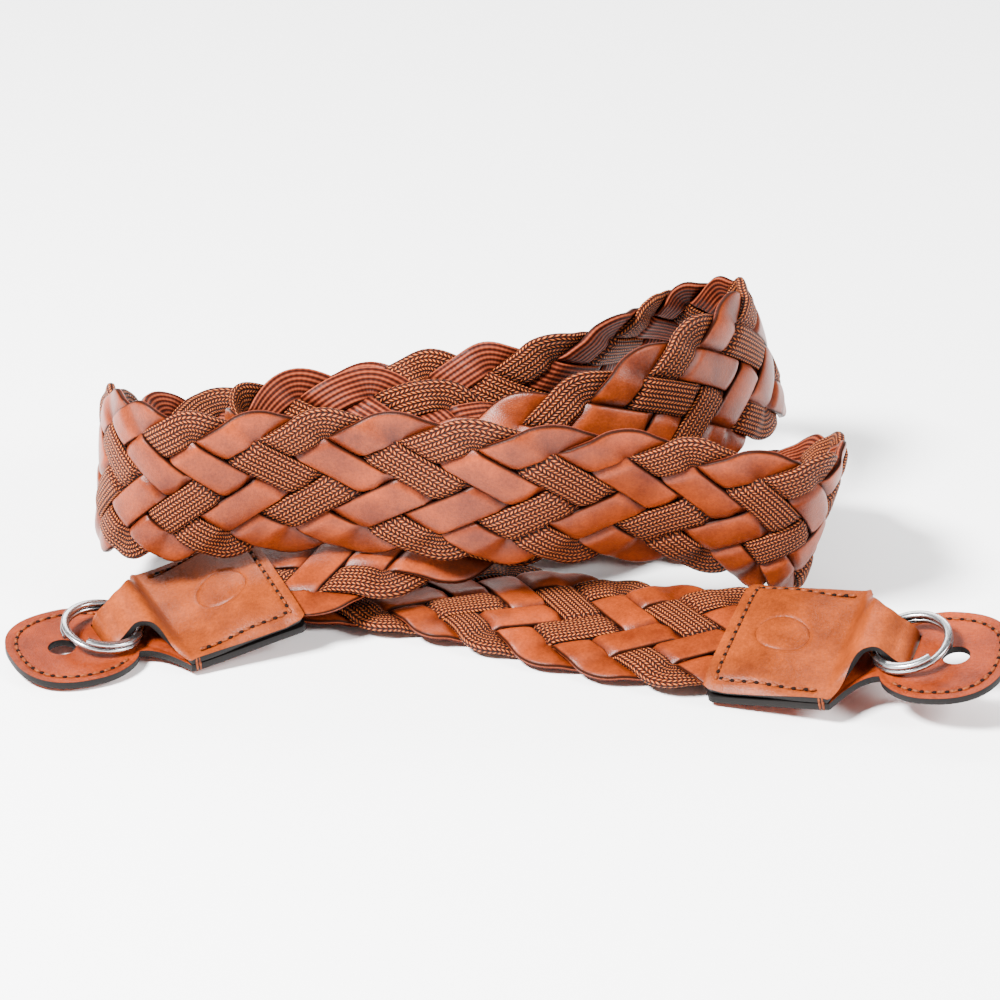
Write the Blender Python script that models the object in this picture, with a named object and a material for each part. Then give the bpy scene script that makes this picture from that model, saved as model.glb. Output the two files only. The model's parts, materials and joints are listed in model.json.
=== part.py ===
"""A coiled camera strap: a flat braid of seven strands with a leather tab and a split ring at each end.

Four leather thongs and three woven cords are braided flat. The strap is wound in two turns that stand
on edge, and its two ends lie on the table with their outer face up. Each end is a stitched leather tab
whose neck holds a split ring over a protective flap. Metres, +Z up, origin on the table under the middle.
"""

import bisect
import math

import bmesh
import bpy
from mathutils import Vector

# Braid
STRAND_WIDTH = 0.00575
STRAND_GAP = 0.00085
STRAND_THICKNESS = 0.0014
LAYER_GAP = 0.0006
BRAID_PITCH = 0.0118
EDGE_ROUNDING_SHARE = 0.29
SKIVED_SHARE = 0.45
SKIVE_LENGTH = 0.012
TUCK = 0.0050
SQUEEZE_SHARE = 0.16
SQUEEZE_LENGTH = 0.0015
FIRST_TURN_SHARE = 0.85

# Tabs
TAB_LENGTH = 0.0225
TAB_ROOM = 0.0265
TAB_MARGIN = 0.0006
TAB_CORNER = 0.0015
SHOULDER_LENGTH = 0.0070
SHOULDER_SHAPE = 2.1
COVER_LEATHER = 0.0011
BASE_LEATHER = 0.0013
SEAT_GAP = 0.0003
BULGE_LENGTH = 0.0075
BULGE_SLOPE = 0.0120
MOUTH_DROP_SHARE = 0.30
SIDE_DROP_SHARE = 0.80
SEAT_SHARE = 0.91
CREASE_SHARE = 0.94
COVER_FLAT_SHARE = 0.80

# Neck and flap
NECK_WIDTH = 0.0096
NECK_SPAN = 0.0108
NECK_CREST = 0.0050
NECK_END = 0.0020
NECK_LEAN_SHARE = 0.13
NECK_ROUND = 0.0020
CREST_SHARE = 0.40
NECK_FULLNESS = 0.30
WAIST_WIDTH = 0.0140
FLAP_WIDTH = 0.0250
FLAP_LENGTH = 0.0285
HOLE_DIAMETER = 0.0050
HOLE_TO_TIP = 0.0095
HOLE_SIDES = 12
FLAP_SHAPE = 0.6
TIP_SHAPE = 2.5

# Split ring
RING_OUTER = 0.0150
RING_WIRE_WIDTH = 0.0014
RING_WIRE_HEIGHT = 0.0010
RING_COIL_GAP = 0.00015
RING_STEPS = 16
RING_AHEAD = 0.0004
RING_ASIDE = 0.0002
RING_LIFT = 0.0025

# Each end: its name, the way along the strap that leads outwards, and how far its ring is rolled towards
# the near side and pitched up at its outer side, in degrees.
ENDS = (
    ("left", -1, 7.0, 6.0),
    ("right", 1, 7.0, 6.0),
)

# Strands, numbered by their first turn along the upper edge; the ones named here are woven cords.
STRAND_COUNT = 7
CORD_NUMBERS = (1, 4, 6)

# The way of the strap from one flap to the other, as the rows of a smooth curve. Across, depth and height
# are in strap widths, and lean is the tilt of the strap's upper edge from upright to its outer face, in
# degrees. The first three rows lie flat under the left end, and the last three under the right end.
ROUTE_COLUMNS = ("across", "depth", "height", "lean")
ROUTE = (
    (-2.96, 0.24, 0.31, -86),
    (-2.14, 0.75, 0.06, -85),
    (-1.30, 1.06, 0.34, -86),
    (-0.35, 1.48, 0.57, -52),
    (0.69, 1.61, 0.88, 3),
    (1.35, 2.11, 1.11, -8),
    (1.95, 3.14, 0.97, -18),
    (0.93, 3.65, 0.96, -48),
    (0.39, 2.62, 0.62, -6),
    (-0.66, 2.57, 0.62, 49),
    (-1.71, 2.87, 0.27, 62),
    (-2.32, 2.29, 0.45, 33),
    (-2.47, 1.32, 0.94, -23),
    (-1.93, 0.80, 0.95, 10),
    (-1.00, 1.15, 0.95, 9),
    (0.07, 0.71, 0.96, 8),
    (1.01, 1.09, 0.86, 21),
    (1.94, 0.78, 0.67, 10),
    (2.03, 1.77, 0.49, 19),
    (1.34, 2.38, 0.10, 99),
    (0.34, 2.00, 0.36, 79),
    (-0.46, 2.14, 0.70, 33),
    (-1.56, 2.41, 0.55, 21),
    (-1.77, 1.79, 0.49, -27),
    (-1.08, 1.37, 0.00, -99),
    (-0.18, 1.20, 0.11, -88),
    (0.57, 0.72, 0.10, -82),
    (1.38, 0.42, 0.20, -79),
    (2.19, 0.11, 0.31, -78),
    (3.00, -0.19, 0.42, -78),
)
ROUTE_STEPS = 24

# Sizes that follow from the ones above
BRAID_ANGLE = math.asin((STRAND_WIDTH + STRAND_GAP) / BRAID_PITCH)
ROW_SPACING = 0.5 * BRAID_PITCH * math.tan(BRAID_ANGLE)
CELL_HALF = 0.5 * STRAND_WIDTH / math.sin(2 * BRAID_ANGLE)
EDGE_REACH = 2.5 * ROW_SPACING + 2 * CELL_HALF * math.sin(BRAID_ANGLE)
EDGE_BULGE = EDGE_ROUNDING_SHARE * STRAND_WIDTH
STRAP_WIDTH = 2 * (EDGE_REACH + EDGE_BULGE)
TAB_WIDTH = STRAP_WIDTH + 2 * TAB_MARGIN
TUCKED_HALF = SKIVED_SHARE * STRAND_THICKNESS + 0.5 * LAYER_GAP
BASE_TOP = -(TUCKED_HALF + SEAT_GAP)
COVER_SEAT = BASE_TOP + SEAT_GAP
NECK_DROP = TAB_LENGTH + NECK_SPAN
RING_OUT = NECK_DROP + RING_AHEAD
FLAP_TIP = TAB_LENGTH + FLAP_LENGTH


def route_value(t):
    """Row values and their slopes on the smooth curve at t, counted in rows from the left flap."""
    i = min(max(int(t), 0), len(ROUTE) - 4)
    f = t - i
    near = ((1 - f) ** 3, 3 * f ** 3 - 6 * f ** 2 + 4, -3 * f ** 3 + 3 * f ** 2 + 3 * f + 1, f ** 3)
    slope = (-(1 - f) ** 2, 3 * f ** 2 - 4 * f, -3 * f ** 2 + 2 * f + 1, f ** 2)
    value = [sum(w * ROUTE[i + k][c] for k, w in enumerate(near)) / 6 for c in range(4)]
    change = [sum(w * ROUTE[i + k][c] for k, w in enumerate(slope)) / 2 for c in range(4)]
    return value, change


def route_frame(t):
    """Centre of the strap at t, with its directions along, across (to the upper edge) and out."""
    value, change = route_value(t)
    centre = Vector(value[:3]) * STRAP_WIDTH
    along = Vector(change[:3]).normalized()
    outer = along.cross(Vector((0, 0, 1))).normalized()
    upright = outer.cross(along)
    lean = math.radians(value[3])
    across = upright * math.cos(lean) + outer * math.sin(lean)
    return centre, along, across, along.cross(across)


ROUTE_END = len(ROUTE) - 3
ROUTE_PLACES = [k / ROUTE_STEPS for k in range(ROUTE_END * ROUTE_STEPS + 1)]


def measure_route():
    """Length of the strap from the left flap's root to each of the route's places."""
    lengths = [0.0]
    before = route_frame(0)[0]
    for t in ROUTE_PLACES[1:]:
        here = route_frame(t)[0]
        lengths.append(lengths[-1] + (here - before).length)
        before = here
    return lengths


ROUTE_LENGTHS = measure_route()


def place_at(length):
    """Place on the route, in rows, at a length from the left flap's root."""
    k = min(max(bisect.bisect_right(ROUTE_LENGTHS, length) - 1, 0), len(ROUTE_LENGTHS) - 2)
    share = (length - ROUTE_LENGTHS[k]) / (ROUTE_LENGTHS[k + 1] - ROUTE_LENGTHS[k])
    return (k + share) / ROUTE_STEPS


# The route leaves this room for a tab beyond each edge of the braid; longer tabs run straight on.
BRAID_START = TAB_ROOM
BRAID_STOP = ROUTE_LENGTHS[-1] - TAB_ROOM
BRAID_PITCHES = round((BRAID_STOP - BRAID_START) / BRAID_PITCH)
START_PLACE = place_at(BRAID_START)
STOP_PLACE = place_at(BRAID_STOP)


def braid_point(along, across, out):
    """Point of the braid at a length along it, in even pitches, and offsets across and out of it."""
    share = along / (BRAID_PITCHES * BRAID_PITCH)
    centre, _, side, normal = route_frame(START_PLACE + share * (STOP_PLACE - START_PLACE))
    inside_tab = max(-along, along - BRAID_PITCHES * BRAID_PITCH, 0.0)
    squeeze = 1 - SQUEEZE_SHARE * min(inside_tab / SQUEEZE_LENGTH, 1.0)
    return centre + side * across * squeeze + normal * out


def end_point(way, beyond, across, out):
    """Point of a tab or flap at a length beyond the braid's edge, straight past the flap's root."""
    if way < 0:
        length = BRAID_START - beyond
    else:
        length = BRAID_STOP + beyond
    inside = min(max(length, 0.0), ROUTE_LENGTHS[-1])
    centre, forward, side, normal = route_frame(place_at(inside))
    return centre + forward * (length - inside) + side * across + normal * out


def thickness_at(along):
    """Strand thickness, thinned towards the ends that are tucked into the tabs."""
    depth = min(along, BRAID_PITCHES * BRAID_PITCH - along)
    share = min(max(depth / SKIVE_LENGTH, 0.0), 1.0)
    return STRAND_THICKNESS * (SKIVED_SHARE + (1 - SKIVED_SHARE) * share)


def cell_centre(turn, row, falling):
    """Centre of the crossing in a row, for a strand that falls from a turn or rises to it."""
    step = 0.5 * row * BRAID_PITCH
    along = turn * BRAID_PITCH + (step if falling else -step)
    return along, (3.5 - row) * ROW_SPACING


def crossing_section(centre, forward, falling, level):
    """Slanted section of a strand, parallel to the strands it crosses: upper corner, lower corner, level."""
    slope = -1 if falling else 1
    run = CELL_HALF * math.cos(BRAID_ANGLE)
    rise = CELL_HALF * math.sin(BRAID_ANGLE)
    along = centre[0] + forward * run
    across = centre[1] + forward * slope * rise
    lower = (along + slope * run, across - rise)
    upper = (along - slope * run, across + rise)
    return upper, lower, level


def gap_section(first, second, falling, level):
    """Section in the middle of a float that passes two strands."""
    middle = (0.5 * (first[0] + second[0]), 0.5 * (first[1] + second[1]))
    return crossing_section(middle, 0, falling, level)


def turn_section(turn, edge):
    """Section across a strand at its turn on the upper (1) or lower (-1) edge."""
    outer = (turn * BRAID_PITCH, edge * (EDGE_REACH + EDGE_BULGE))
    inner = (turn * BRAID_PITCH, edge * (EDGE_REACH - 2 * CELL_HALF * math.sin(BRAID_ANGLE)))
    if edge > 0:
        return outer, inner, 0
    return inner, outer, 0


def falling_pass(turn):
    """Sections from a turn on the upper edge down to the next turn on the lower edge."""
    sections = [turn_section(turn, 1)]
    for rows, level in (((1,), -1), ((2, 3), 1), ((4, 5), -1), ((6,), 1)):
        cells = [cell_centre(turn, row, True) for row in rows]
        sections.append(crossing_section(cells[0], -1, True, level))
        if len(cells) > 1:
            sections.append(gap_section(cells[0], cells[1], True, level))
        sections.append(crossing_section(cells[-1], 1, True, level))
    return sections


def rising_pass(turn):
    """Sections from a turn on the lower edge up to a turn on the upper edge."""
    sections = [turn_section(turn - 0.5 * STRAND_COUNT, -1)]
    for rows, level in (((6,), -1), ((5, 4), 1), ((3, 2), -1), ((1,), 1)):
        cells = [cell_centre(turn, row, False) for row in rows]
        sections.append(crossing_section(cells[0], -1, False, level))
        if len(cells) > 1:
            sections.append(gap_section(cells[0], cells[1], False, level))
        sections.append(crossing_section(cells[-1], 1, False, level))
    return sections


def strand_sections(first):
    """All sections of the strand whose turns on the upper edge come every seven pitches from the first."""
    sections = []
    turn = first - STRAND_COUNT
    while turn < BRAID_PITCHES + STRAND_COUNT:
        sections += falling_pass(turn)
        turn += STRAND_COUNT
        sections += rising_pass(turn)
    low = -TUCK
    high = BRAID_PITCHES * BRAID_PITCH + TUCK
    return [s for s in sections if low <= 0.5 * (s[0][0] + s[1][0]) <= high]


def new_object(name, mesh_data, colour, roughness, metallic):
    """Object with its own principled material, linked to the scene."""
    material = bpy.data.materials.new(name)
    material.use_nodes = True
    shader = material.node_tree.nodes["Principled BSDF"]
    shader.inputs["Base Color"].default_value = (*colour, 1)
    shader.inputs["Roughness"].default_value = roughness
    shader.inputs["Metallic"].default_value = metallic
    mesh_data.materials.append(material)
    obj = bpy.data.objects.new(name, mesh_data)
    bpy.context.scene.collection.objects.link(obj)
    return obj


def leather(name, mesh_data):
    """Object of smooth tan leather."""
    return new_object(name, mesh_data, (0.36, 0.12, 0.045), 0.45, 0.0)


def woven(name, mesh_data):
    """Object of woven textile cord."""
    return new_object(name, mesh_data, (0.30, 0.11, 0.05), 0.85, 0.0)


def steel(name, mesh_data):
    """Object of bright steel wire."""
    return new_object(name, mesh_data, (0.60, 0.60, 0.61), 0.25, 1.0)


def finish(bm, name):
    """Mesh of one closed body with its faces pointing out."""
    bmesh.ops.recalc_face_normals(bm, faces=bm.faces)
    if bm.calc_volume(signed=True) < 0:
        bmesh.ops.reverse_faces(bm, faces=bm.faces)
    mesh_data = bpy.data.meshes.new(name)
    bm.to_mesh(mesh_data)
    bm.free()
    return mesh_data


def loft(rings, name, closed_ends=True):
    """Closed body through rings of four or more corners, each pair joined by triangles."""
    bm = bmesh.new()
    rows = [[bm.verts.new(p) for p in ring] for ring in rings]
    count = len(rows[0])
    for before, after in zip(rows, rows[1:]):
        for k in range(count):
            n = (k + 1) % count
            bm.faces.new((before[k], before[n], after[n]))
            bm.faces.new((before[k], after[n], after[k]))
    if closed_ends:
        bm.faces.new(rows[0][::-1])
        bm.faces.new(rows[-1])
    bmesh.ops.triangulate(bm, faces=bm.faces)
    return finish(bm, name)


def strand_mesh(first, name):
    """One strand of the braid as a flat strip that passes over and under the others."""
    rings = []
    for upper, lower, level in strand_sections(first):
        ring = []
        for corner, face in ((upper, 1), (lower, 1), (lower, -1), (upper, -1)):
            thickness = thickness_at(corner[0])
            out = 0.5 * level * (thickness + LAYER_GAP) + 0.5 * face * thickness
            ring.append(braid_point(corner[0], corner[1], out))
        rings.append(ring)
    return loft(rings, name)


def tab_half_width(beyond, narrow, taper):
    """Half width of a tab layer: straight sides, a hollow shoulder and then its narrow part."""
    wide = 0.5 * TAB_WIDTH
    if beyond < TAB_CORNER:
        return wide - TAB_CORNER + math.sqrt(TAB_CORNER ** 2 - (TAB_CORNER - beyond) ** 2)
    if beyond <= TAB_LENGTH:
        return wide
    share = min((beyond - TAB_LENGTH) / taper, 1.0)
    return narrow + (wide - narrow) * (1 - share) ** SHOULDER_SHAPE


def flap_half_width(beyond):
    """Half width of the flap: it widens in a soft curve from the waist and ends in a round tip."""
    half = 0.5 * FLAP_WIDTH
    widest = FLAP_TIP - half
    if beyond >= widest:
        share = min((beyond - widest) / half, 1.0)
        return half * (1 - share ** TIP_SHAPE) ** (1 / TIP_SHAPE)
    waist = TAB_LENGTH + SHOULDER_LENGTH
    share = min(max((beyond - waist) / (widest - waist), 0.0), 1.0)
    return 0.5 * WAIST_WIDTH + (half - 0.5 * WAIST_WIDTH) * math.sin(0.5 * math.pi * share) ** FLAP_SHAPE


def base_outline():
    """Outline of the lower leather, as lengths beyond the braid's edge with their half widths."""
    rows = [(0.0, 0.5 * TAB_WIDTH - TAB_CORNER)]
    rows += [(TAB_CORNER * k / 2, tab_half_width(TAB_CORNER * k / 2, 0, 1)) for k in (1, 2)]
    for k in range(5):
        beyond = TAB_LENGTH + SHOULDER_LENGTH * k / 4
        rows.append((beyond, tab_half_width(beyond, 0.5 * WAIST_WIDTH, SHOULDER_LENGTH)))
    waist = TAB_LENGTH + SHOULDER_LENGTH
    widest = FLAP_TIP - 0.5 * FLAP_WIDTH
    for k in range(1, 6):
        beyond = waist + (widest - waist) * k / 5
        rows.append((beyond, flap_half_width(beyond)))
    for k in range(1, 7):
        share = math.sin(math.radians(15 * k)) ** (2 / TIP_SHAPE)
        rows.append((widest + 0.5 * FLAP_WIDTH * share, flap_half_width(widest + 0.5 * FLAP_WIDTH * share)))
    return rows


def round_hole(centre, radius, sides):
    """Corners of a round hole in the flap."""
    turns = [2 * math.pi * (k + 0.5) / sides for k in range(sides)]
    return [(centre + radius * math.cos(a), radius * math.sin(a)) for a in turns]


def slot_hole():
    """Corners of the slot that the neck goes down through."""
    half_length = 0.5 * NECK_WIDTH + SEAT_GAP
    near = NECK_DROP - 0.5 * COVER_LEATHER - SEAT_GAP
    far = NECK_DROP + 0.5 * COVER_LEATHER + SEAT_GAP
    return [(near, -half_length), (far, -half_length), (far, half_length), (near, half_length)]


def base_mesh(way, name):
    """Lower leather of an end: its stitched rectangle, its waist and its flap with a slot and a hole."""
    bm = bmesh.new()
    rows = base_outline()
    outline = [(b, h) for b, h in rows] + [(b, -h) for b, h in reversed(rows) if h > 1e-6]
    loops = (outline, slot_hole(), round_hole(FLAP_TIP - HOLE_TO_TIP, 0.5 * HOLE_DIAMETER, HOLE_SIDES))
    for corners in loops:
        verts = [bm.verts.new((b, a, 0)) for b, a in corners]
        for k, vert in enumerate(verts):
            bm.edges.new((vert, verts[(k + 1) % len(verts)]))
    bmesh.ops.triangle_fill(bm, use_beauty=True, edges=bm.edges)
    for k in range(1, 5):
        cut = TAB_LENGTH * k / 5
        bmesh.ops.bisect_plane(bm, geom=bm.verts[:] + bm.edges[:] + bm.faces[:], plane_co=(cut, 0, 0),
                               plane_no=(1, 0, 0), dist=1e-6)
    bmesh.ops.bisect_plane(bm, geom=bm.verts[:] + bm.edges[:] + bm.faces[:], plane_co=(0, 0, 0),
                           plane_no=(0, 1, 0), dist=1e-6)
    bmesh.ops.triangulate(bm, faces=bm.faces)
    grown = bmesh.ops.extrude_face_region(bm, geom=bm.faces[:])
    for vert in grown["geom"]:
        if isinstance(vert, bmesh.types.BMVert):
            vert.co.z = -BASE_LEATHER
    bmesh.ops.triangulate(bm, faces=bm.faces)
    for vert in bm.verts:
        vert.co = end_point(way, vert.co.x, vert.co.y, BASE_TOP + vert.co.z)
    return finish(bm, name)


def cover_profile():
    """Middle line of the upper leather: over the braid's end, down to the lower leather, over the ring
    and down through the slot. Each row is beyond, out, and the share of the neck's lean that it takes."""
    high = TUCKED_HALF + SEAT_GAP + 0.5 * COVER_LEATHER
    low = COVER_SEAT + 0.5 * COVER_LEATHER
    crest = BASE_TOP + NECK_CREST + 0.5 * COVER_LEATHER
    end = BASE_TOP + NECK_END + 0.5 * COVER_LEATHER
    rows = [(0.0, high, 0), (0.5 * BULGE_LENGTH, high, 0), (BULGE_LENGTH, high, 0)]
    for k in range(1, 4):
        share = k / 3
        drop = 0.5 - 0.5 * math.cos(math.pi * share)
        rows.append((BULGE_LENGTH + BULGE_SLOPE * share, high + (low - high) * drop, 0))
    rows.append((SEAT_SHARE * TAB_LENGTH, low, 0))
    start = CREASE_SHARE * TAB_LENGTH
    top = TAB_LENGTH + CREST_SHARE * NECK_SPAN
    for k in range(5):
        share = k / 4
        lift = 0.5 - 0.5 * math.cos(math.pi * share)
        rows.append((start + (top - start) * share, low + (crest - low) * lift, lift))
    bend = NECK_DROP - NECK_ROUND
    rows.append((0.5 * (top + bend), 0.5 * (crest + end) + NECK_FULLNESS * (crest - end), 1))
    for k in range(4):
        angle = math.radians(30 * k)
        fall = NECK_ROUND * (1 - math.cos(angle))
        rows.append((bend + NECK_ROUND * math.sin(angle), end - fall, 1 - k / 4))
    rows.append((NECK_DROP, BASE_TOP - BASE_LEATHER + 0.5 * SEAT_GAP, 0))
    return rows


COVER_SIDES = (1, COVER_FLAT_SHARE, -COVER_FLAT_SHARE, -1)
COVER_CORNERS = [(1, side) for side in COVER_SIDES] + [(-1, side) for side in reversed(COVER_SIDES)]


def cover_mesh(way, name):
    """Upper leather of an end, as one strip along its profile."""
    profile = cover_profile()
    low = COVER_SEAT + 0.5 * COVER_LEATHER
    rings = []
    for k, (beyond, out, lean) in enumerate(profile):
        before = profile[max(k - 1, 0)]
        after = profile[min(k + 1, len(profile) - 1)]
        run = Vector((after[0] - before[0], after[1] - before[1])).normalized()
        up = Vector((-run.y, run.x)) * 0.5 * COVER_LEATHER
        half = tab_half_width(max(beyond, TAB_CORNER / 3), 0.5 * NECK_WIDTH, SHOULDER_LENGTH)
        mouth = 1 - min(beyond / (0.5 * BULGE_LENGTH), 1.0)
        drop = SIDE_DROP_SHARE + (MOUTH_DROP_SHARE - SIDE_DROP_SHARE) * mouth
        ring = []
        for face, side in COVER_CORNERS:
            across = side * half
            height = out + face * up.y + lean * NECK_LEAN_SHARE * across
            if abs(side) == 1:
                height -= (1 - lean) * drop * (out - low)
            ring.append(end_point(way, beyond + face * up.x, across, height))
        rings.append(ring)
    return loft(rings, name)


WIRE_CORNERS = ((1, 0), (0.5, 1), (-0.5, 1), (-1, 0), (-0.5, -1), (0.5, -1))


def ring_mesh(way, roll, pitch, name):
    """Split ring: one wire wound in two touching coils, tilted in the neck over the flap."""
    radius = 0.5 * (RING_OUTER - RING_WIRE_WIDTH)
    step = RING_WIRE_HEIGHT + RING_COIL_GAP
    total = 2 * RING_STEPS - 2
    rings = []
    for k in range(total + 1):
        turn = 2 * math.pi * k / RING_STEPS
        height = step * (k / RING_STEPS - 1)
        loop = []
        for wide, tall in WIRE_CORNERS:
            reach = radius + 0.5 * RING_WIRE_WIDTH * wide
            beyond = reach * math.cos(turn)
            across = reach * math.sin(turn)
            out = height + 0.5 * RING_WIRE_HEIGHT * tall
            beyond, out = tilted(beyond, out, math.radians(pitch))
            across, out = tilted(across, out, math.radians(roll))
            loop.append(end_point(way, RING_OUT + beyond, across - RING_ASIDE, BASE_TOP + RING_LIFT + out))
        rings.append(loop)
    return loft(rings, name)


def tilted(level, out, angle):
    """Turn a level and an out distance by an angle that lifts the level's far side."""
    return (level * math.cos(angle) - out * math.sin(angle), level * math.sin(angle) + out * math.cos(angle))


def clear_scene():
    """Start from an empty scene."""
    for obj in list(bpy.data.objects):
        bpy.data.objects.remove(obj)


def build_strands():
    """Seven strands in the order of their first turns: woven cords and leather thongs."""
    made = []
    cords = 0
    for number in range(STRAND_COUNT):
        first = FIRST_TURN_SHARE + number
        if number in CORD_NUMBERS:
            cords += 1
            name = "woven_cord_%d" % cords
            made.append(woven(name, strand_mesh(first, name)))
        else:
            name = "leather_thong_%d" % (number + 1 - cords)
            made.append(leather(name, strand_mesh(first, name)))
    return made


def build_ends():
    """Tab cover, tab base with its flap, and split ring of both ends."""
    made = []
    for side, way, roll, pitch in ENDS:
        made.append(leather("tab_cover_" + side, cover_mesh(way, "tab_cover_" + side)))
        made.append(leather("tab_base_" + side, base_mesh(way, "tab_base_" + side)))
        made.append(steel("split_ring_" + side, ring_mesh(way, roll, pitch, "split_ring_" + side)))
    return made


def stand_on_table(objects):
    """Shift every mesh so that the origin lies on the table, under the middle of the strap's box."""
    points = [v.co for obj in objects for v in obj.data.vertices]
    low = Vector(min(p[c] for p in points) for c in range(3))
    high = Vector(max(p[c] for p in points) for c in range(3))
    shift = Vector((-0.5 * (low.x + high.x), -0.5 * (low.y + high.y), -low.z))
    for obj in objects:
        for vert in obj.data.vertices:
            vert.co += shift


def main():
    """Build every strand and both ends, and stand the strap on the table."""
    clear_scene()
    stand_on_table(build_strands() + build_ends())


main()
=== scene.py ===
# %% [markdown]
# # A coiled braided camera strap
# The real strap is a flat braid of seven strands, four leather thongs and three woven cords, wound in two
# turns that stand on edge. Each end is a stitched leather tab. Its neck holds a split ring over a flap that
# keeps the ring off the camera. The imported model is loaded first, and every piece made here stands for one
# of its nodes or lies on one.

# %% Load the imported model
import json
import math

import bpy
import numpy as np
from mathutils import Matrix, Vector

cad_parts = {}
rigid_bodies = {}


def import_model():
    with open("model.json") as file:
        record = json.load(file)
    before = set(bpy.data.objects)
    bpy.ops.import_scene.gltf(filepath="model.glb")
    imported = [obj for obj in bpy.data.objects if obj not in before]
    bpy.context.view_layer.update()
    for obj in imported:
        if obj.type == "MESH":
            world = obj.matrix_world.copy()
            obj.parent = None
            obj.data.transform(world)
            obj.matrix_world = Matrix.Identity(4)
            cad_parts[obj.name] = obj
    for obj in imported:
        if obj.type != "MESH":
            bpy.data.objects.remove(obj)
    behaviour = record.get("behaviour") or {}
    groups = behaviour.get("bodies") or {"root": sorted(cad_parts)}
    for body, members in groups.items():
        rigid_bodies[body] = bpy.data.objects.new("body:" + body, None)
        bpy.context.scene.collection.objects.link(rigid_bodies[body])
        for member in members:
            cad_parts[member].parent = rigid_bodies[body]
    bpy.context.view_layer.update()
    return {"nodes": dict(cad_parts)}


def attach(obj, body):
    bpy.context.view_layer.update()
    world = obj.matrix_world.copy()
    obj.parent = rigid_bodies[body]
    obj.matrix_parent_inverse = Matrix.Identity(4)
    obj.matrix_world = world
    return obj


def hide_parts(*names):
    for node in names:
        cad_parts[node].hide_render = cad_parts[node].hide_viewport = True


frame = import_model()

print("packed nodes:", sorted(frame["nodes"]))

# %% [markdown]
# ## The camera
# The photograph looks down at the strap by 25 degrees from the middle of its long side. A long lens 0.7 m
# away shows the same mild perspective. Everything is placed in metres, so the camera comes first and each
# piece can be checked in its view.

# %% Camera
CAMERA_TILT = math.radians(25)
CAMERA_DISTANCE = 0.70
CAMERA_LENS = 134.8
# Where the middle of the picture lies: the middle of the coil, a little above the table.
LOOK_AT = Vector((-0.0003, 0.0023, 0.0151))

camera_data = bpy.data.cameras.new("camera")
camera_data.lens = CAMERA_LENS
camera_data.sensor_width = 36
camera_data.clip_start = 0.01
camera = bpy.data.objects.new("camera", camera_data)
bpy.context.scene.collection.objects.link(camera)
view_way = Vector((0, math.cos(CAMERA_TILT), -math.sin(CAMERA_TILT)))
camera.location = LOOK_AT - CAMERA_DISTANCE * view_way
camera.rotation_euler = (math.radians(90) - CAMERA_TILT, 0, 0)
bpy.context.scene.camera = camera
print("camera at", [round(v, 3) for v in camera.location])

# %% [markdown]
# ## The way of the strap
# A strap that is coiled by hand follows no circle or straight line, so its middle line is a smooth curve
# guided by a short table of places. Across, depth and height are counted in strap widths, and lean is how
# far the strap's upper edge tips from upright towards its outer face. A cubic B-spline suits this: it bends
# gently past its rows, and each row only moves the strap near it.

# %% The route
STRAP_WIDTH = 0.030176
# These rows weren't chosen by hand, as a table in a script should be. They are the rounded output of a
# least-squares fit to points of the strap's edges in the photograph, and 12 of them were moved a little since.
ROUTE = np.array([
    (-2.96, 0.24, 0.31, -86),
    (-2.14, 0.75, 0.06, -85),
    (-1.30, 1.06, 0.34, -86),
    (-0.35, 1.48, 0.57, -52),
    (0.69, 1.61, 0.88, 3),
    (1.35, 2.11, 1.11, -8),
    (1.95, 3.14, 0.97, -18),
    (0.93, 3.65, 0.96, -48),
    (0.39, 2.62, 0.62, -6),
    (-0.66, 2.57, 0.62, 49),
    (-1.71, 2.87, 0.27, 62),
    (-2.32, 2.29, 0.45, 33),
    (-2.47, 1.32, 0.94, -23),
    (-1.93, 0.80, 0.95, 10),
    (-1.00, 1.15, 0.95, 9),
    (0.07, 0.71, 0.96, 8),
    (1.01, 1.09, 0.86, 21),
    (1.94, 0.78, 0.67, 10),
    (2.03, 1.77, 0.49, 19),
    (1.34, 2.38, 0.10, 99),
    (0.34, 2.00, 0.36, 79),
    (-0.46, 2.14, 0.70, 33),
    (-1.56, 2.41, 0.55, 21),
    (-1.77, 1.79, 0.49, -27),
    (-1.08, 1.37, 0.00, -99),
    (-0.18, 1.20, 0.11, -88),
    (0.57, 0.72, 0.10, -82),
    (1.38, 0.42, 0.20, -79),
    (2.19, 0.11, 0.31, -78),
    (3.00, -0.19, 0.42, -78),
])
# The table's own origin, moved so that the coil's box stands on the floor under its middle.
ROUTE_SHIFT = np.array((-0.000947, -0.049555, 0.000123))


def route_frame(places):
    """Middle of the strap at each place, with its directions along, across (to the upper edge) and out."""
    row = np.clip(np.floor(places).astype(int), 0, len(ROUTE) - 4)
    f = (places - row)[:, None]
    near = ((1 - f) ** 3, 3 * f ** 3 - 6 * f ** 2 + 4, -3 * f ** 3 + 3 * f ** 2 + 3 * f + 1, f ** 3)
    slope = (-(1 - f) ** 2, 3 * f ** 2 - 4 * f, -3 * f ** 2 + 2 * f + 1, f ** 2)
    value = sum(near[k] * ROUTE[row + k] for k in range(4)) / 6
    change = sum(slope[k] * ROUTE[row + k] for k in range(4)) / 2
    centre = value[:, :3] * STRAP_WIDTH + ROUTE_SHIFT
    along = change[:, :3] / np.linalg.norm(change[:, :3], axis=1, keepdims=True)
    outer = np.cross(along, (0.0, 0.0, 1.0))
    outer /= np.linalg.norm(outer, axis=1, keepdims=True)
    upright = np.cross(outer, along)
    lean = np.radians(value[:, 3:4])
    across = upright * np.cos(lean) + outer * np.sin(lean)
    return centre, along, across, np.cross(along, across)


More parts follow.
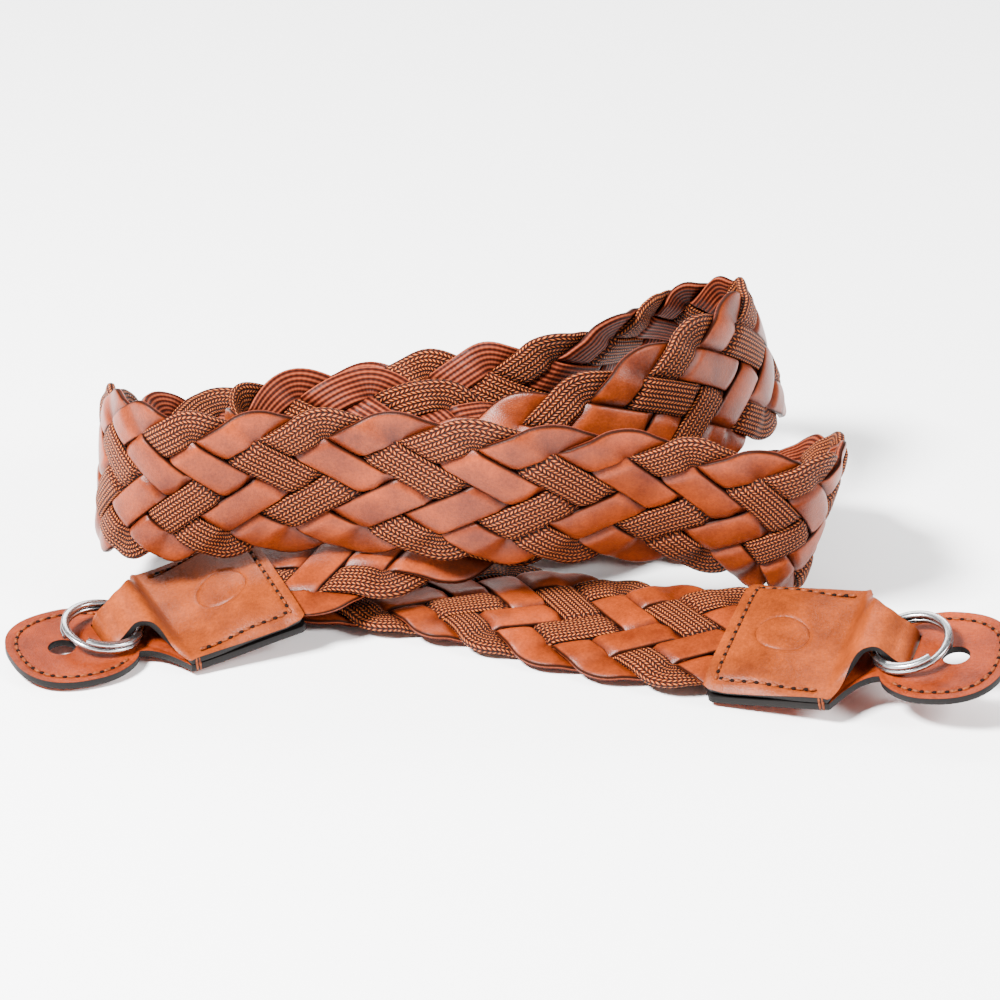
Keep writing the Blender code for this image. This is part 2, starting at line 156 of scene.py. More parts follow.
# The route is measured in this many steps from one row to the next.
ROUTE_STEPS = 24
ROUTE_END = len(ROUTE) - 3
route_places = np.linspace(0, ROUTE_END, ROUTE_STEPS * ROUTE_END + 1)
steps = np.diff(route_frame(route_places)[0], axis=0)
route_lengths = np.concatenate([[0], np.cumsum(np.linalg.norm(steps, axis=1))])
print("strap from flap to flap: %.0f mm" % (1000 * route_lengths[-1]))

# %% [markdown]
# ## From flat to coiled
# A braid and a tab are easy to describe lying flat. So each piece is modelled flat, with x along the strap,
# y across it and z out of its face, and then laid along the route. Two functions do that: one for the
# braid, whose lengths are spread evenly between the tabs, and one for the tabs, which run straight on past
# the ends of the route.

# %% Laying flat work along the route
TAB_LENGTH = 0.0225
BRAID_PITCH = 0.0118
BRAID_PITCHES = 58
# The route leaves this room for a tab beyond each edge of the braid.
BRAID_START = 0.0265
BRAID_STOP = route_lengths[-1] - BRAID_START
START_PLACE = np.interp(BRAID_START, route_lengths, route_places)
STOP_PLACE = np.interp(BRAID_STOP, route_lengths, route_places)
# Inside a tab the braid is squeezed a little narrower, so that the leathers meet beside it.
SQUEEZE_SHARE = 0.16
SQUEEZE_LENGTH = 0.0015


def lay_braid(flat):
    """Places of flat braid points, an array of rows (along, across, out), on the coiled strap."""
    share = flat[:, 0] / (BRAID_PITCHES * BRAID_PITCH)
    centre, _, side, normal = route_frame(START_PLACE + share * (STOP_PLACE - START_PLACE))
    inside_tab = np.maximum(-flat[:, :1], flat[:, :1] - BRAID_PITCHES * BRAID_PITCH)
    squeeze = 1 - SQUEEZE_SHARE * np.clip(inside_tab / SQUEEZE_LENGTH, 0, 1)
    return centre + side * flat[:, 1:2] * squeeze + normal * flat[:, 2:3]


def lay_end(flat, way):
    """Places of flat tab points, as rows (beyond the braid's edge, across, out), on the coiled strap.

    The way is -1 for the left end and 1 for the right end.
    """
    length = BRAID_START - flat[:, 0] if way < 0 else BRAID_STOP + flat[:, 0]
    inside = np.clip(length, 0, route_lengths[-1])
    centre, forward, side, normal = route_frame(np.interp(inside, route_lengths, route_places))
    return centre + forward * (length - inside)[:, None] + side * flat[:, 1:2] + normal * flat[:, 2:3]


print("braid between the tabs: %.0f mm" % (1000 * (BRAID_STOP - BRAID_START)))

# %% [markdown]
# ## Working by hand in code
# Blender's operators act on what is selected, so each step starts by deselecting everything. These helpers
# do the repeated moves: start from a primitive, apply a modifier, read and write all points at once.

# %% Hand tools


def deselect_all():
    for obj in bpy.context.view_layer.objects:
        obj.select_set(False)


def just_added(name):
    """Name the primitive that was just added."""
    obj = bpy.context.active_object
    obj.name = name
    obj.data.name = name
    return obj


def only(obj):
    """Make this object the only selected one and the active one."""
    deselect_all()
    obj.select_set(True)
    bpy.context.view_layer.objects.active = obj


def read_points(obj):
    points = np.empty(3 * len(obj.data.vertices))
    obj.data.vertices.foreach_get("co", points)
    return points.reshape(-1, 3)


def write_points(obj, points):
    obj.data.vertices.foreach_set("co", np.ascontiguousarray(points).ravel())
    obj.data.update()


def add_grid(name, columns, rows):
    """Flat grid one unit wide, with x and y from -0.5 to 0.5 and its own UV map."""
    deselect_all()
    bpy.ops.mesh.primitive_grid_add(x_subdivisions=columns, y_subdivisions=rows, size=1, calc_uvs=True)
    return just_added(name)


def use_modifier(obj, kind, **settings):
    """Add a modifier, set it and apply it at once."""
    only(obj)
    modifier = obj.modifiers.new(kind.lower(), kind)
    for key, value in settings.items():
        setattr(modifier, key, value)
    bpy.ops.object.modifier_apply(modifier=modifier.name)


def edit_all(obj, operator, **settings):
    """Run one operator on the whole mesh in edit mode."""
    only(obj)
    bpy.ops.object.mode_set(mode="EDIT")
    bpy.ops.mesh.select_all(action="SELECT")
    operator(**settings)
    bpy.ops.object.mode_set(mode="OBJECT")


def merge_points(obj, distance):
    """Merge the points that meet."""
    edit_all(obj, bpy.ops.mesh.remove_doubles, threshold=distance)


def merge_and_face_out(obj, distance):
    """Merge the points that meet and turn every face of the closed body outwards."""
    merge_points(obj, distance)
    edit_all(obj, bpy.ops.mesh.normals_make_consistent, inside=False)


def close_tube(obj):
    """Merge the seam of a rolled-up grid and close its two ends."""
    merge_and_face_out(obj, 0.00001)
    bpy.ops.object.mode_set(mode="EDIT")
    bpy.ops.mesh.select_all(action="DESELECT")
    bpy.ops.mesh.select_non_manifold()
    bpy.ops.mesh.edge_face_add()
    bpy.ops.object.mode_set(mode="OBJECT")


def finish_piece(obj, material, node=None, smooth_angle=50):
    """Smooth shading, a material, and the node that the piece stands for."""
    only(obj)
    bpy.ops.object.shade_smooth_by_angle(angle=math.radians(smooth_angle))
    if material is not None:
        obj.data.materials.clear()
        obj.data.materials.append(material)
    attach(obj, "root")
    if node:
        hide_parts(node)
    print("%s: %d faces" % (obj.name, len(obj.data.polygons)))


# %% [markdown]
# ## Materials
# One helper adds a node with its settings and links. Colours are written as the hex values a paint program
# shows, and one function turns them to the linear values that Blender computes with.

# %% Colour and node helpers


def linear(code):
    """Linear colour of an sRGB hex code."""
    parts = [int(code[k:k + 2], 16) / 255 for k in (0, 2, 4)]
    return tuple(p / 12.92 if p <= 0.04045 else ((p + 0.055) / 1.055) ** 2.4 for p in parts) + (1.0,)


def new_material(name, values):
    """A material and its shader, with the values that are the same all over."""
    material = bpy.data.materials.new(name)
    material.use_nodes = True
    shader = material.node_tree.nodes["Principled BSDF"]
    for key, value in values.items():
        shader.inputs[key].default_value = value
    return material, shader


def add_node(material, kind, settings=None, links=None, values=None):
    """Add one node. Its kind is Blender's name for the type without the ShaderNode at its start."""
    node = material.node_tree.nodes.new("ShaderNode" + kind)
    for key, value in (settings or {}).items():
        setattr(node, key, value)
    for key, source in (links or {}).items():
        material.node_tree.links.new(source, node.inputs[key])
    for key, value in (values or {}).items():
        node.inputs[key].default_value = value
    return node


def set_stops(node, stops):
    """Stops of a colour ramp: position and hex code or grey value."""
    ramp = node.color_ramp
    while len(ramp.elements) > 1:
        ramp.elements.remove(ramp.elements[-1])
    for k, (position, tone) in enumerate(stops):
        element = ramp.elements[0] if k == 0 else ramp.elements.new(position)
        element.position = position
        element.color = linear(tone) if isinstance(tone, str) else (tone, tone, tone, 1)


# %% [markdown]
# ### Vegetable-tanned leather
# The thongs and tabs are waxed, vegetable-tanned cowhide. Its surface is a thin clear finish over fibres, so
# it is a dielectric with a soft gloss, its colour drifts in slow clouds, and its pores are about 0.4 mm
# apart. A clouded noise gives the drift and Voronoi cells the pores. A fine noise roughens the surface and
# darkens its low places a little. The lower leather with the flap is the same hide, but looks darker and
# redder than the upper one in the photograph, so it has its own three colours: a darker copy that paints shade
# on it.

# %% Leather of the tabs
# How many clouds, specks and pores there are to a metre.
CLOUDS = 110
SPECKS = 1900
PORES = 2600


def leather_base(material, shader, light, middle, dark, roughness):
    """Clouded colour and pore height on Object coordinates. Returns the colour and the height."""
    place = add_node(material, "TexCoord").outputs["Object"]
    clouds = add_node(material, "TexNoise", links={"Vector": place},
                      values={"Scale": CLOUDS, "Detail": 6, "Roughness": 0.62})
    tone = add_node(material, "ValToRGB", links={"Fac": clouds.outputs["Fac"]})
    set_stops(tone, [(0.30, dark), (0.50, middle), (0.70, light)])
    mottle = add_node(material, "TexNoise", links={"Vector": place},
                      values={"Scale": SPECKS, "Detail": 3, "Roughness": 0.7})
    speck = add_node(material, "MapRange", links={"Value": mottle.outputs["Fac"]},
                     values={"From Min": 0.35, "From Max": 0.65, "To Min": 0.78, "To Max": 1.14})
    fleck = add_node(material, "MixRGB", {"blend_type": "MULTIPLY"},
                     {"Color1": tone.outputs["Color"], "Color2": speck.outputs["Result"]}, {"Fac": 1.0})
    pores = add_node(material, "TexVoronoi", {"feature": "DISTANCE_TO_EDGE"}, {"Vector": place},
                     {"Scale": PORES})
    relief = add_node(material, "Math", {"operation": "ADD"},
                      {0: pores.outputs["Distance"], 1: mottle.outputs["Fac"]})
    gloss = add_node(material, "MapRange", links={"Value": clouds.outputs["Fac"]},
                     values={"To Min": roughness - 0.08, "To Max": roughness + 0.10})
    material.node_tree.links.new(gloss.outputs["Result"], shader.inputs["Roughness"])
    return fleck.outputs["Color"], relief.outputs["Value"]


def paint_dip_shade(material, colour, deepest_shade):
    """Paint shade, a warm tint, on the places where a strand dives under another."""
    # Painted shade: the strand's colour is multiplied towards a warm brown by how deep it dives under another
    # strand.
    dip_shade = add_node(material, "Attribute", {"attribute_name": "dip_shade"})
    shade = add_node(material, "MapRange", links={"Value": dip_shade.outputs["Fac"]},
                     values={"From Min": 0.1, "From Max": 0.9})
    tint = add_node(material, "MixRGB", {"blend_type": "MIX"}, {"Fac": shade.outputs["Result"]},
                    {"Color1": (1, 1, 1, 1), "Color2": linear(deepest_shade)})
    return add_node(material, "MixRGB", {"blend_type": "MULTIPLY"},
                    {"Color1": colour, "Color2": tint.outputs["Color"]}, {"Fac": 1.0}).outputs["Color"]


def join_colour(material, shader, colour):
    material.node_tree.links.new(colour, shader.inputs["Base Color"])


def join_bump(material, shader, height, strength, distance):
    bump = add_node(material, "Bump", links={"Height": height},
                    values={"Strength": strength, "Distance": distance})
    material.node_tree.links.new(bump.outputs["Normal"], shader.inputs["Normal"])


def make_tab_leather(name, light, middle, dark, shine):
    """Leather of a tab: its clouded colour, its pores, and how much its finish shines."""
    material, shader = new_material(name, {"IOR": 1.45, "Specular IOR Level": shine})
    colour, relief = leather_base(material, shader, light, middle, dark, 0.42)
    join_colour(material, shader, colour)
    join_bump(material, shader, relief, 0.6, 0.00011)
    return material


tab_leather = make_tab_leather("waxed vegetable-tanned cowhide", "82380F", "6B2C0A", "542007", 0.18)
# The lower leather is the tab leather made darker and redder: painted shade.
flap_leather_shaded = make_tab_leather("waxed cowhide with painted shade", "7E2F0C", "682408", "501905", 0.12)

# %% [markdown]
# The cut edges of the tabs are painted and burnished: a near-black film with a faint sheen, a little uneven
# where the leather layers meet.

# %% Painted edge
edge_paint, shader = new_material("burnished edge paint", {
    "Base Color": linear("0E0B0A"), "Roughness": 0.6, "Specular IOR Level": 0.12})
place = add_node(edge_paint, "TexCoord").outputs["Object"]
ripple = add_node(edge_paint, "TexNoise", links={"Vector": place}, values={"Scale": 700, "Detail": 2})
join_bump(edge_paint, shader, ripple.outputs["Fac"], 0.25, 0.0001)

# %% [markdown]
# ### Leather of the thongs
# A thong is shiny on top, darker at its skived edges, and lined inside with ribbed webbing. The strand's own
# UV map says where a point is: u runs along the strand and v round its section. So the same material can
# show leather outside, a dark burnished edge and rust-coloured webbing inside.

# %% Thong leather
# Webbing ribs round the whole section, of which the lining shows half, and its cross yarns along a strand.
WEBBING_RIBS = 15
WEBBING_YARNS = 1050

thong_leather, shader = new_material("waxed cowhide thong with webbing lining", {"IOR": 1.45})
colour, relief = leather_base(thong_leather, shader, "81320D", "69280A", "4E1906", 0.37)
uv = add_node(thong_leather, "UVMap", {"uv_map": "UVMap"})
split = add_node(thong_leather, "SeparateXYZ", links={"Vector": uv.outputs["UV"]})
round_share = split.outputs["Y"]
along_share = split.outputs["X"]
edge = add_node(thong_leather, "ValToRGB", links={"Fac": round_share})
set_stops(edge, [(0.0, 1.0), (0.035, 1.0), (0.06, 0.0), (0.44, 0.0), (0.465, 1.0), (0.5, 1.0)])
with_edge = add_node(thong_leather, "MixRGB", {"blend_type": "MIX"},
                     {"Fac": edge.outputs["Color"], "Color1": colour}, {"Color2": linear("220C05")})
lined = add_node(thong_leather, "Math", {"operation": "GREATER_THAN"}, {0: round_share}, {1: 0.5})
dull = add_node(thong_leather, "Math", {"operation": "MAXIMUM"},
                {0: edge.outputs["Color"], 1: lined.outputs["Value"]})
less_shine = add_node(thong_leather, "MapRange", links={"Value": dull.outputs["Value"]},
                      values={"To Min": 0.23, "To Max": 0.04})
thong_leather.node_tree.links.new(less_shine.outputs["Result"], shader.inputs["Specular IOR Level"])
ribs = add_node(thong_leather, "Math", {"operation": "MULTIPLY"}, {0: round_share},
                {1: 2 * math.pi * WEBBING_RIBS})
rib_wave = add_node(thong_leather, "Math", {"operation": "COSINE"}, {0: ribs.outputs["Value"]})
yarns = add_node(thong_leather, "Math", {"operation": "MULTIPLY"}, {0: along_share},
                 {1: 2 * math.pi * WEBBING_YARNS})
yarn_wave = add_node(thong_leather, "Math", {"operation": "SINE"}, {0: yarns.outputs["Value"]})
webbing_height = add_node(thong_leather, "Math", {"operation": "MULTIPLY_ADD"},
                          {0: yarn_wave.outputs["Value"], 2: rib_wave.outputs["Value"]}, {1: 0.15})
# The webbing's colour follows the height of its ribs and yarns: darker in the grooves, which is painted shade.
webbing_tone = add_node(thong_leather, "MapRange", links={"Value": webbing_height.outputs["Value"]},
                        values={"From Min": -1.15, "From Max": 1.15})
webbing_colour = add_node(thong_leather, "ValToRGB", links={"Fac": webbing_tone.outputs["Result"]})
set_stops(webbing_colour, [(0.0, "1E0905"), (0.5, "4A1B10"), (1.0, "803D26")])
whole = add_node(thong_leather, "MixRGB", {"blend_type": "MIX"},
                 {"Fac": lined.outputs["Value"], "Color1": with_edge.outputs["Color"],
                  "Color2": webbing_colour.outputs["Color"]})
# Painted shade, a warm brown, where the thong dives under another strand.
join_colour(thong_leather, shader, paint_dip_shade(thong_leather, whole.outputs["Color"], "70544A"))
height_mix = add_node(thong_leather, "MixRGB", {"blend_type": "MIX"},
                      {"Fac": lined.outputs["Value"], "Color1": relief,
                       "Color2": webbing_height.outputs["Value"]})
join_bump(thong_leather, shader, height_mix.outputs["Color"], 0.45, 0.0001)

# %% [markdown]
# ### Woven cord
# The cords are flat braids of thick textured yarn. From above, each shows columns of short slanted yarn
# bits, leaning left and right in turn, which makes small arrows. The bits are about 0.75 mm long and 0.7 mm
# wide. Columns come from v, round the section, and bits from u, along the cord, with a slant that changes
# side from column to column.

# %% Cord yarn
# Columns round the whole section, of which the cord's face shows half, and bits along one column.
CORD_COLUMNS = 18
CORD_BITS = 1100

cord_yarn, shader = new_material("plaited polyester yarn", {
    "Roughness": 0.6, "IOR": 1.45, "Specular IOR Level": 0.12})
uv = add_node(cord_yarn, "UVMap", {"uv_map": "UVMap"})
split = add_node(cord_yarn, "SeparateXYZ", links={"Vector": uv.outputs["UV"]})
column = add_node(cord_yarn, "Math", {"operation": "MULTIPLY"}, {0: split.outputs["Y"]}, {1: CORD_COLUMNS})
within = add_node(cord_yarn, "Math", {"operation": "FRACT"}, {0: column.outputs["Value"]})
centred = add_node(cord_yarn, "Math", {"operation": "SUBTRACT"}, {0: within.outputs["Value"]}, {1: 0.5})
half_column = add_node(cord_yarn, "Math", {"operation": "MULTIPLY"}, {0: column.outputs["Value"]}, {1: 0.5})
parity = add_node(cord_yarn, "Math", {"operation": "FRACT"}, {0: half_column.outputs["Value"]})
side = add_node(cord_yarn, "Math", {"operation": "LESS_THAN"}, {0: parity.outputs["Value"]}, {1: 0.5})
sign = add_node(cord_yarn, "Math", {"operation": "MULTIPLY_ADD"}, {0: side.outputs["Value"]},
                {1: 2.0, 2: -1.0})
slant = add_node(cord_yarn, "Math", {"operation": "MULTIPLY"},
                 {0: centred.outputs["Value"], 1: sign.outputs["Value"]})
bits = add_node(cord_yarn, "Math", {"operation": "MULTIPLY_ADD"},
                {0: split.outputs["X"], 2: slant.outputs["Value"]}, {1: CORD_BITS})
bit = add_node(cord_yarn, "Math", {"operation": "FRACT"}, {0: bits.outputs["Value"]})
bit_turn = add_node(cord_yarn, "Math", {"operation": "MULTIPLY"}, {0: bit.outputs["Value"]}, {1: math.pi})
bit_round = add_node(cord_yarn, "Math", {"operation": "SINE"}, {0: bit_turn.outputs["Value"]})
column_turn = add_node(cord_yarn, "Math", {"operation": "MULTIPLY"}, {0: within.outputs["Value"]},
                       {1: math.pi})
column_round = add_node(cord_yarn, "Math", {"operation": "SINE"}, {0: column_turn.outputs["Value"]})
bit_height = add_node(cord_yarn, "Math", {"operation": "MULTIPLY"},
                      {0: bit_round.outputs["Value"], 1: column_round.outputs["Value"]})
crown = add_node(cord_yarn, "Math", {"operation": "POWER"}, {0: bit_height.outputs["Value"]}, {1: 0.75})
place = add_node(cord_yarn, "TexCoord").outputs["Object"]
fuzz = add_node(cord_yarn, "TexNoise", links={"Vector": place}, values={"Scale": 2500, "Detail": 3})
# The yarn's colour follows the bits' height: near black in the gaps between bits, which is painted shade, and
# tan on their crowns.
tone = add_node(cord_yarn, "ValToRGB", links={"Fac": crown.outputs["Value"]})
set_stops(tone, [(0.0, "080201"), (0.42, "300F06"), (0.70, "6E2C11"), (0.95, "B46432")])
uneven = add_node(cord_yarn, "MixRGB", {"blend_type": "MULTIPLY"},
                  {"Color1": tone.outputs["Color"], "Color2": fuzz.outputs["Fac"]}, {"Fac": 0.35})
# Painted shade, a warm brown, where the cord dives under another strand.
join_colour(cord_yarn, shader, paint_dip_shade(cord_yarn, uneven.outputs["Color"], "88685A"))
join_bump(cord_yarn, shader, crown.outputs["Value"], 0.9, 0.00035)

# %% [markdown]
# ### Stitching thread and steel
# The tabs are sewn with waxed thread of the leather's own colour, sunk in its holes. The split rings are
# spring steel with a bright satin finish: a bare metal, so metallic is 1 and the finish's fine scratches
# set the roughness.

# %% Thread and steel
waxed_thread, shader = new_material("waxed sewing thread", {"Roughness": 0.6, "Specular IOR Level": 0.15})
place = add_node(waxed_thread, "TexCoord").outputs["Object"]
twist = add_node(waxed_thread, "TexNoise", links={"Vector": place}, values={"Scale": 2200, "Detail": 2})
tone = add_node(waxed_thread, "ValToRGB", links={"Fac": twist.outputs["Fac"]})
set_stops(tone, [(0.3, "3A1405"), (0.7, "77350F")])
join_colour(waxed_thread, shader, tone.outputs["Color"])

# A needle hole is drawn as a near-black bead on the leather: painted shade in the hole.
stitch_hole_shade, shader = new_material("painted shade of a stitch hole", {"Roughness": 0.9, "Specular IOR Level": 0.1})
place = add_node(stitch_hole_shade, "TexCoord").outputs["Object"]
depth = add_node(stitch_hole_shade, "TexNoise", links={"Vector": place}, values={"Scale": 1500})
tone = add_node(stitch_hole_shade, "ValToRGB", links={"Fac": depth.outputs["Fac"]})
set_stops(tone, [(0.3, "0B0402"), (0.7, "160804")])
join_colour(stitch_hole_shade, shader, tone.outputs["Color"])

ring_steel, shader = new_material("satin spring steel", {"Base Color": linear("A6A6A8"), "Metallic": 1.0})
place = add_node(ring_steel, "TexCoord").outputs["Object"]
scratches = add_node(ring_steel, "TexNoise", links={"Vector": place},
                     values={"Scale": 1800, "Detail": 4, "Roughness": 0.7})
satin = add_node(ring_steel, "MapRange", links={"Value": scratches.outputs["Fac"]},
                 values={"To Min": 0.16, "To Max": 0.34})
ring_steel.node_tree.links.new(satin.outputs["Result"], shader.inputs["Roughness"])
join_bump(ring_steel, shader, scratches.outputs["Fac"], 0.08, 0.00003)
print("materials:", len(bpy.data.materials))

# %% [markdown]
# ## The braid
# In a flat braid of seven, a strand runs slantwise from one edge to the other, turns and comes back. On its
# way it dives under one strand, goes over two, under two and over one. Counting rows of crossings from an
# edge, that rhythm repeats every seven rows, so one short list of levels describes every strand. Strands
# differ only in where they start.

# %% One strand's path, lying flat
STRAND_WIDTH = 0.00575
STRAND_GAP = 0.00085
STRAND_THICKNESS = 0.0014
LAYER_GAP = 0.0006
STRAND_COUNT = 7
# Where the first strand turns at the upper edge, in pitches.
FIRST_TURN = 0.85
# A strand reaches this far into each tab, and is skived to this share of its thickness there.
TUCK = 0.0046
SKIVED_SHARE = 0.45
SKIVE_LENGTH = 0.012
BRAID_ANGLE = math.asin((STRAND_WIDTH + STRAND_GAP) / BRAID_PITCH)
ROW_SPACING = 0.5 * BRAID_PITCH * math.tan(BRAID_ANGLE)
EDGE_REACH = 0.5 * STRAP_WIDTH - 0.5 * STRAND_WIDTH
# Level at each of the seven rows: 1 is above the crossing strand, -1 is below it, 0 is at the edge.
LEVELS = np.array((0.0, -1, 1, 1, -1, -1, 1, 0))
# Share of a row over which a strand changes level.
CLIMB = 0.55


def level_at(rows):
    """Smooth level after a number of rows from a turn."""
    inside = np.mod(rows, 7)
    low = np.floor(inside).astype(int)
    part = np.clip((inside - low - 0.5 * (1 - CLIMB)) / CLIMB, 0, 1)
    part = part * part * (3 - 2 * part)
    return LEVELS[low] + (LEVELS[low + 1] - LEVELS[low]) * part


def strand_path(first, step):
    """Path of a strand as an array: along, across, rows from its first upper turn."""
    low = -TUCK
    high = BRAID_PITCHES * BRAID_PITCH + TUCK
    count = int((high - low) / (step * math.cos(BRAID_ANGLE)))
    along = np.linspace(low, high, count)
    rows = 2 * (along / BRAID_PITCH - first)
    place = np.mod(rows + 3.5, 14) - 3.5
    beyond = np.where(place > 3.5, place - 7, place)
    edge = np.where(place > 3.5, -1.0, 1.0)
    corner = (3.5 * ROW_SPACING - EDGE_REACH) / ROW_SPACING
    across = edge * (3.5 - np.sqrt(beyond ** 2 + corner ** 2)) * ROW_SPACING
    return along, across, rows


print("braid angle %.1f degrees, rows %.2f mm apart" % (math.degrees(BRAID_ANGLE), 1000 * ROW_SPACING))

# %% [markdown]
# A strand's section is a closed loop of points round a flat bar. The thong's top is crowned and its edges
# are rounded over, and its lining is nearly flat with seven or eight shallow ribs. The cord is a soft flat
# oval. A grid primitive is the easiest start, because it brings an even mesh and a UV map: its x becomes
# the way along the strand and its y the way round the section. Where the sides of the grid meet, the points
# are merged. Each point also keeps how deep it dives under another strand, where the materials paint shade.

# %% Sections of a thong and a cord
# How far the thong's crown falls to its sides and its ribs stand out, in half thicknesses.
THONG_CROWN = 0.30
RIB_HEIGHT = 0.06


def round_bar(v, across_power, out_power):
    """Offsets across and out round a flat bar with rounded sides, in half widths and half thicknesses.

    v runs evenly round the outline from 0 to 1, over the top first.
    """
    angle = math.pi * (1 - 2 * np.linspace(0, 1, 2001))
    across = np.sign(np.cos(angle)) * np.abs(np.cos(angle)) ** across_power
    out = np.sign(np.sin(angle)) * np.abs(np.sin(angle)) ** out_power
    step = np.hypot(np.diff(across) * STRAND_WIDTH, np.diff(out) * STRAND_THICKNESS)
    share = np.concatenate([[0], np.cumsum(step)])
    share /= share[-1]
    return np.interp(v, share, across), np.interp(v, share, out)


def thong_section(v):
    """Section of a thong: crowned on top, with shallow ribs in its lining."""
    across, out = round_bar(v, 0.5, 0.38)
    ribs = RIB_HEIGHT * np.cos(2 * math.pi * WEBBING_RIBS * v)
    return across, np.where(v < 0.5, out * (1.0 - THONG_CROWN * across ** 2), out * (0.90 - ribs))


def cord_section(v):
    """Section of a cord: a flat oval."""
    return round_bar(v, 0.62, 0.60)


def make_strand(node, first, section, step, around, breadth, fullness, material):
    """One strand from a grid primitive, laid in the braid and along the route."""
    along, across, rows = strand_path(first, step)
    columns = len(along)
    obj = add_grid("braided_" + node, columns - 1, around)
    flat = read_points(obj)
    k = np.rint((flat[:, 0] + 0.5) * (columns - 1)).astype(int)
    v = flat[:, 1] + 0.5
    run = np.gradient(along)
    rise = np.gradient(across)
    length = np.hypot(run, rise)
    side_x = -rise / length
    side_y = run / length
    falling = np.clip(-rise / length / math.sin(BRAID_ANGLE), -1, 1)
    offset, out = section(v)
    sideways = offset * 0.5 * STRAND_WIDTH * breadth
    x = along[k] + side_x[k] * sideways
    y = across[k] + side_y[k] * sideways
    shifted = rows[k] - falling[k] * sideways * math.cos(2 * BRAID_ANGLE) / (STRAND_WIDTH + STRAND_GAP)
    depth = np.minimum(x, BRAID_PITCHES * BRAID_PITCH - x)
    skive = SKIVED_SHARE + (1 - SKIVED_SHARE) * np.clip(depth / SKIVE_LENGTH, 0, 1)
    thick = STRAND_THICKNESS * skive
    level = level_at(shifted)
    z = 0.5 * level * (thick + LAYER_GAP) + 0.5 * fullness * thick * out
    write_points(obj, lay_braid(np.column_stack((x, y, z))))
    # Painted shade: the strand is darkened where it is under another on the side that faces out, less at the
    # braid's edges.
    facing = np.where(v < 0.5, 1, -1)
    inward = np.clip((0.5 * STRAP_WIDTH - np.abs(y)) / (0.25 * STRAP_WIDTH), 0.2, 1)
    dip_shade = obj.data.attributes.new("dip_shade", "FLOAT", "POINT")
    dip_shade.data.foreach_set("value", inward * np.clip(0.85 - 0.85 * level * facing, 0, 1))
    close_tube(obj)
    finish_piece(obj, material, node, 60)


# %% [markdown]
# Seven strands start one pitch apart. The second, fifth and seventh are cords. Leather and cord press
# against each other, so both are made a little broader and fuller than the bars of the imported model.

# %% Lay the seven strands
CORD_NUMBERS = (1, 4, 6)
STRAND_STEP = 0.0007
# Faces round the section, and how many times as broad and as full as the plain bar it is.
CORD_AROUND, CORD_BREADTH, CORD_FULLNESS = 28, 1.14, 1.40
THONG_AROUND, THONG_BREADTH, THONG_FULLNESS = 36, 1.12, 1.25

cords = 0
for number in range(STRAND_COUNT):
    if number in CORD_NUMBERS:
        cords += 1
        make_strand("woven_cord_%d" % cords, FIRST_TURN + number, cord_section, STRAND_STEP, CORD_AROUND,
                    CORD_BREADTH, CORD_FULLNESS, cord_yarn)
    else:
        make_strand("leather_thong_%d" % (number + 1 - cords), FIRST_TURN + number, thong_section,
                    STRAND_STEP, THONG_AROUND, THONG_BREADTH, THONG_FULLNESS, thong_leather)

# %% [markdown]
# ## The tabs
# Each tab is two leathers sewn round the end of the braid. The lower one runs on as a flap with a slot and
# a round hole; the upper one narrows to a neck that arches over the ring and goes down through the slot.
# Both are modelled flat, because a maker cuts them flat too: a grid is cut to the outline, thickened,
# pierced, and its rim rounded. Only then is it laid on the route.

# %% Outline of a tab
TAB_WIDTH = STRAP_WIDTH + 0.0012
TAB_CORNER = 0.0015
SHOULDER_LENGTH = 0.0070
SHOULDER_SHAPE = 2.1
COVER_LEATHER = 0.0011
BASE_LEATHER = 0.0013
SEAT_GAP = 0.0003
NECK_WIDTH = 0.0096
NECK_SPAN = 0.0108
WAIST_WIDTH = 0.0140
FLAP_WIDTH = 0.0250
FLAP_LENGTH = 0.0285
FLAP_SHAPE = 0.6
TIP_SHAPE = 2.5
HOLE_DIAMETER = 0.0050
HOLE_TO_TIP = 0.0095
TUCKED_HALF = SKIVED_SHARE * STRAND_THICKNESS + 0.5 * LAYER_GAP
BASE_TOP = -(TUCKED_HALF + SEAT_GAP)
COVER_SEAT = BASE_TOP + SEAT_GAP
NECK_DROP = TAB_LENGTH + NECK_SPAN
FLAP_TIP = TAB_LENGTH + FLAP_LENGTH
FLAP_WIDEST = FLAP_TIP - 0.5 * FLAP_WIDTH
# The seam runs this far inside the edge and pulls the leather down beside it.
SEAM_INSET = 0.0019
GROOVE_DEPTH = 0.00022
GROOVE_WIDTH = 0.00055
# A face is part of the rim where its normal's z is smaller than this.
RIM_FACING = 0.55


def rectangle_half(beyond, narrow):
    """Half width of the stitched rectangle and of the hollow shoulder that leads to the narrow part."""
    wide = 0.5 * TAB_WIDTH
    corner = np.clip(TAB_CORNER - beyond, 0, TAB_CORNER)
    half = wide - TAB_CORNER + np.sqrt(TAB_CORNER ** 2 - corner ** 2)
    share = np.clip((beyond - TAB_LENGTH) / SHOULDER_LENGTH, 0, 1)
    hollow = narrow + (wide - narrow) * (1 - share) ** SHOULDER_SHAPE
    return np.where(beyond > TAB_LENGTH, hollow, half)


